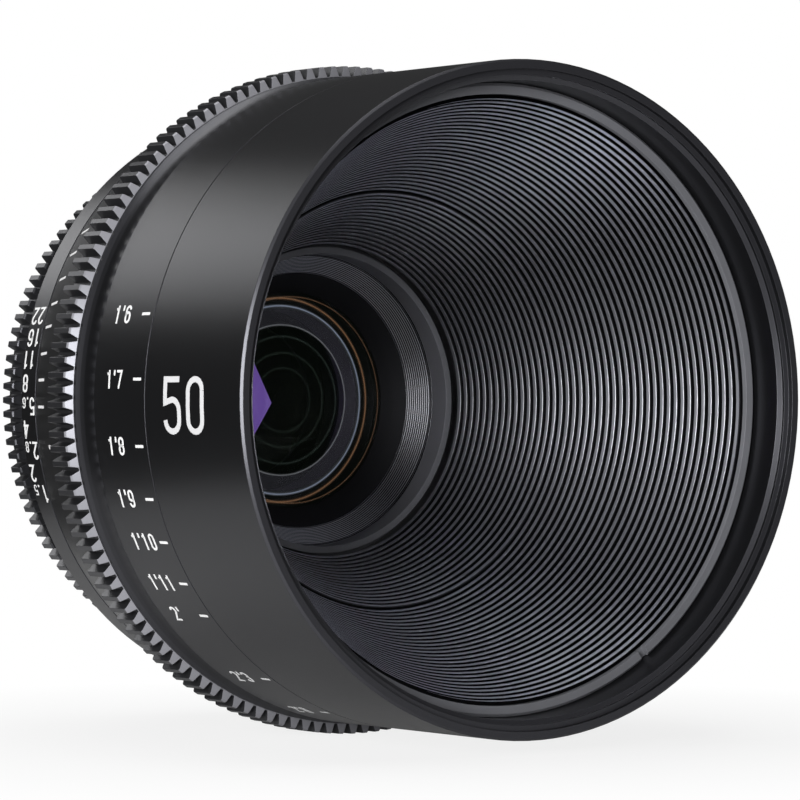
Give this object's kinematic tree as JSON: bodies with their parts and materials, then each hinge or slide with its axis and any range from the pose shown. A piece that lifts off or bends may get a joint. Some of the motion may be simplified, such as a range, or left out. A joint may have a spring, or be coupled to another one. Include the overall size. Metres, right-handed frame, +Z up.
{
  "type": "cinema prime lens",
  "caption": "Round camera lens with a ribbed hood cavity in front, a toothed focus ring, a tapered toothed iris ring and a four-lug bayonet mount behind.",
  "frame": {"origin": "centre of the camera mount's seat face, on the optical axis", "axes": "+Y along the optical axis towards the camera, so the front looks along -Y; +Z up"},
  "size_m": [0.1184, 0.122, 0.1184],
  "materials": {
    "barrel_black": "satin black anodised, fine bead-blasted grain",
    "gear_black": "black anodised, bright machined tooth edges",
    "hood_black": "matt black anodised, turned grooves",
    "cell_black": "black anodised, turned",
    "inner_aluminium": "clear anodised, turned",
    "mount_steel": "ground and lapped stainless steel",
    "screw_steel": "plain hardened steel",
    "blade_steel": "blackened spring steel",
    "coated_glass": "polished, purple and amber anti-reflection coating"
  },
  "bodies": {
    "fixed_body": {"front_barrel": "barrel_black", "hood_retaining_ring": "hood_black", "hood_front_liner": "hood_black", "hood_rear_liner": "hood_black", "main_sleeve": "inner_aluminium", "barrel_screws": "screw_steel", "shoulder_ring": "barrel_black", "rear_housing": "inner_aluminium", "housing_screws": "screw_steel", "rear_barrel": "barrel_black", "mount_shim": "mount_steel", "lens_mount": "mount_steel", "mount_screws": "screw_steel"},
    "focus_ring": {"focus_ring": "barrel_black", "focus_gear": "gear_black", "cam_ring": "inner_aluminium"},
    "optics_block": {"optics_carriage": "inner_aluminium", "cam_rollers": "screw_steel", "front_cell": "cell_black", "baffle_cone_ring": "hood_black", "front_retainer": "cell_black", "front_group_barrel": "cell_black", "front_group_spacer": "cell_black", "front_element": "coated_glass", "second_element": "coated_glass", "third_element": "coated_glass", "iris_housing": "cell_black", "rear_group_barrel": "cell_black", "rear_group_spacer": "cell_black", "rear_retainer": "cell_black", "fourth_element": "coated_glass", "fifth_element": "coated_glass", "sixth_element": "coated_glass", "seventh_element": "coated_glass"},
    "iris_ring": {"iris_ring": "barrel_black", "iris_gear": "gear_black", "iris_fork": "inner_aluminium"},
    "iris_actuator": {"iris_actuator": "blade_steel"},
    "iris_blade_1": {"iris_blade_1": "blade_steel"},
    "iris_blade_2": {"iris_blade_2": "blade_steel"},
    "iris_blade_3": {"iris_blade_3": "blade_steel"},
    "iris_blade_4": {"iris_blade_4": "blade_steel"},
    "iris_blade_5": {"iris_blade_5": "blade_steel"},
    "iris_blade_6": {"iris_blade_6": "blade_steel"}
  },
  "joints": [
    {"name": "focus_turn", "type": "hinge", "parent": "fixed_body", "child": "focus_ring", "pos_m": [0, -0.06665, 0], "axis": [0, -1, 0], "range_deg": [-80.4, 104.6]},
    {"name": "optics_slide", "type": "slide", "parent": "fixed_body", "child": "optics_block", "axis": [0, -1, 0], "range_m": [-0.00311, 0.00405]},
    {"name": "iris_turn", "type": "hinge", "parent": "fixed_body", "child": "iris_ring", "pos_m": [0, -0.02415, 0], "axis": [0, -1, 0], "range_deg": [-11.1, 26]},
    {"name": "iris_actuator_turn", "type": "hinge", "parent": "optics_block", "child": "iris_actuator", "pos_m": [0, -0.01785, 0], "axis": [0, -1, 0], "range_deg": [-11.2, 26.1]},
    {"name": "iris_blade_1_turn", "type": "hinge", "parent": "optics_block", "child": "iris_blade_1", "pos_m": [-0.00975, -0.01709, 0.01689], "axis": [0, -1, 0], "range_deg": [-12.2, 28.4]},
    {"name": "iris_blade_2_turn", "type": "hinge", "parent": "optics_block", "child": "iris_blade_2", "pos_m": [-0.0195, -0.01679, 0], "axis": [0, -1, 0], "range_deg": [-12.2, 28.4]},
    {"name": "iris_blade_3_turn", "type": "hinge", "parent": "optics_block", "child": "iris_blade_3", "pos_m": [-0.00975, -0.01649, -0.01689], "axis": [0, -1, 0], "range_deg": [-12.2, 28.4]},
    {"name": "iris_blade_4_turn", "type": "hinge", "parent": "optics_block", "child": "iris_blade_4", "pos_m": [0.00975, -0.01619, -0.01689], "axis": [0, -1, 0], "range_deg": [-12.2, 28.4]},
    {"name": "iris_blade_5_turn", "type": "hinge", "parent": "optics_block", "child": "iris_blade_5", "pos_m": [0.0195, -0.01589, 0], "axis": [0, -1, 0], "range_deg": [-12.2, 28.4]},
    {"name": "iris_blade_6_turn", "type": "hinge", "parent": "optics_block", "child": "iris_blade_6", "pos_m": [0.00975, -0.01559, 0.01689], "axis": [0, -1, 0], "range_deg": [-12.2, 28.4]}
  ],
  "couplings": [
    {"joint": "optics_slide", "follows": "focus_turn", "m_per_rad": 0.0022144},
    {"joint": "iris_actuator_turn", "follows": "iris_turn", "ratio": 1},
    {"joint": "iris_blade_1_turn", "follows": "iris_turn", "ratio": 1.09},
    {"joint": "iris_blade_2_turn", "follows": "iris_turn", "ratio": 1.09},
    {"joint": "iris_blade_3_turn", "follows": "iris_turn", "ratio": 1.09},
    {"joint": "iris_blade_4_turn", "follows": "iris_turn", "ratio": 1.09},
    {"joint": "iris_blade_5_turn", "follows": "iris_turn", "ratio": 1.09},
    {"joint": "iris_blade_6_turn", "follows": "iris_turn", "ratio": 1.09}
  ]
}
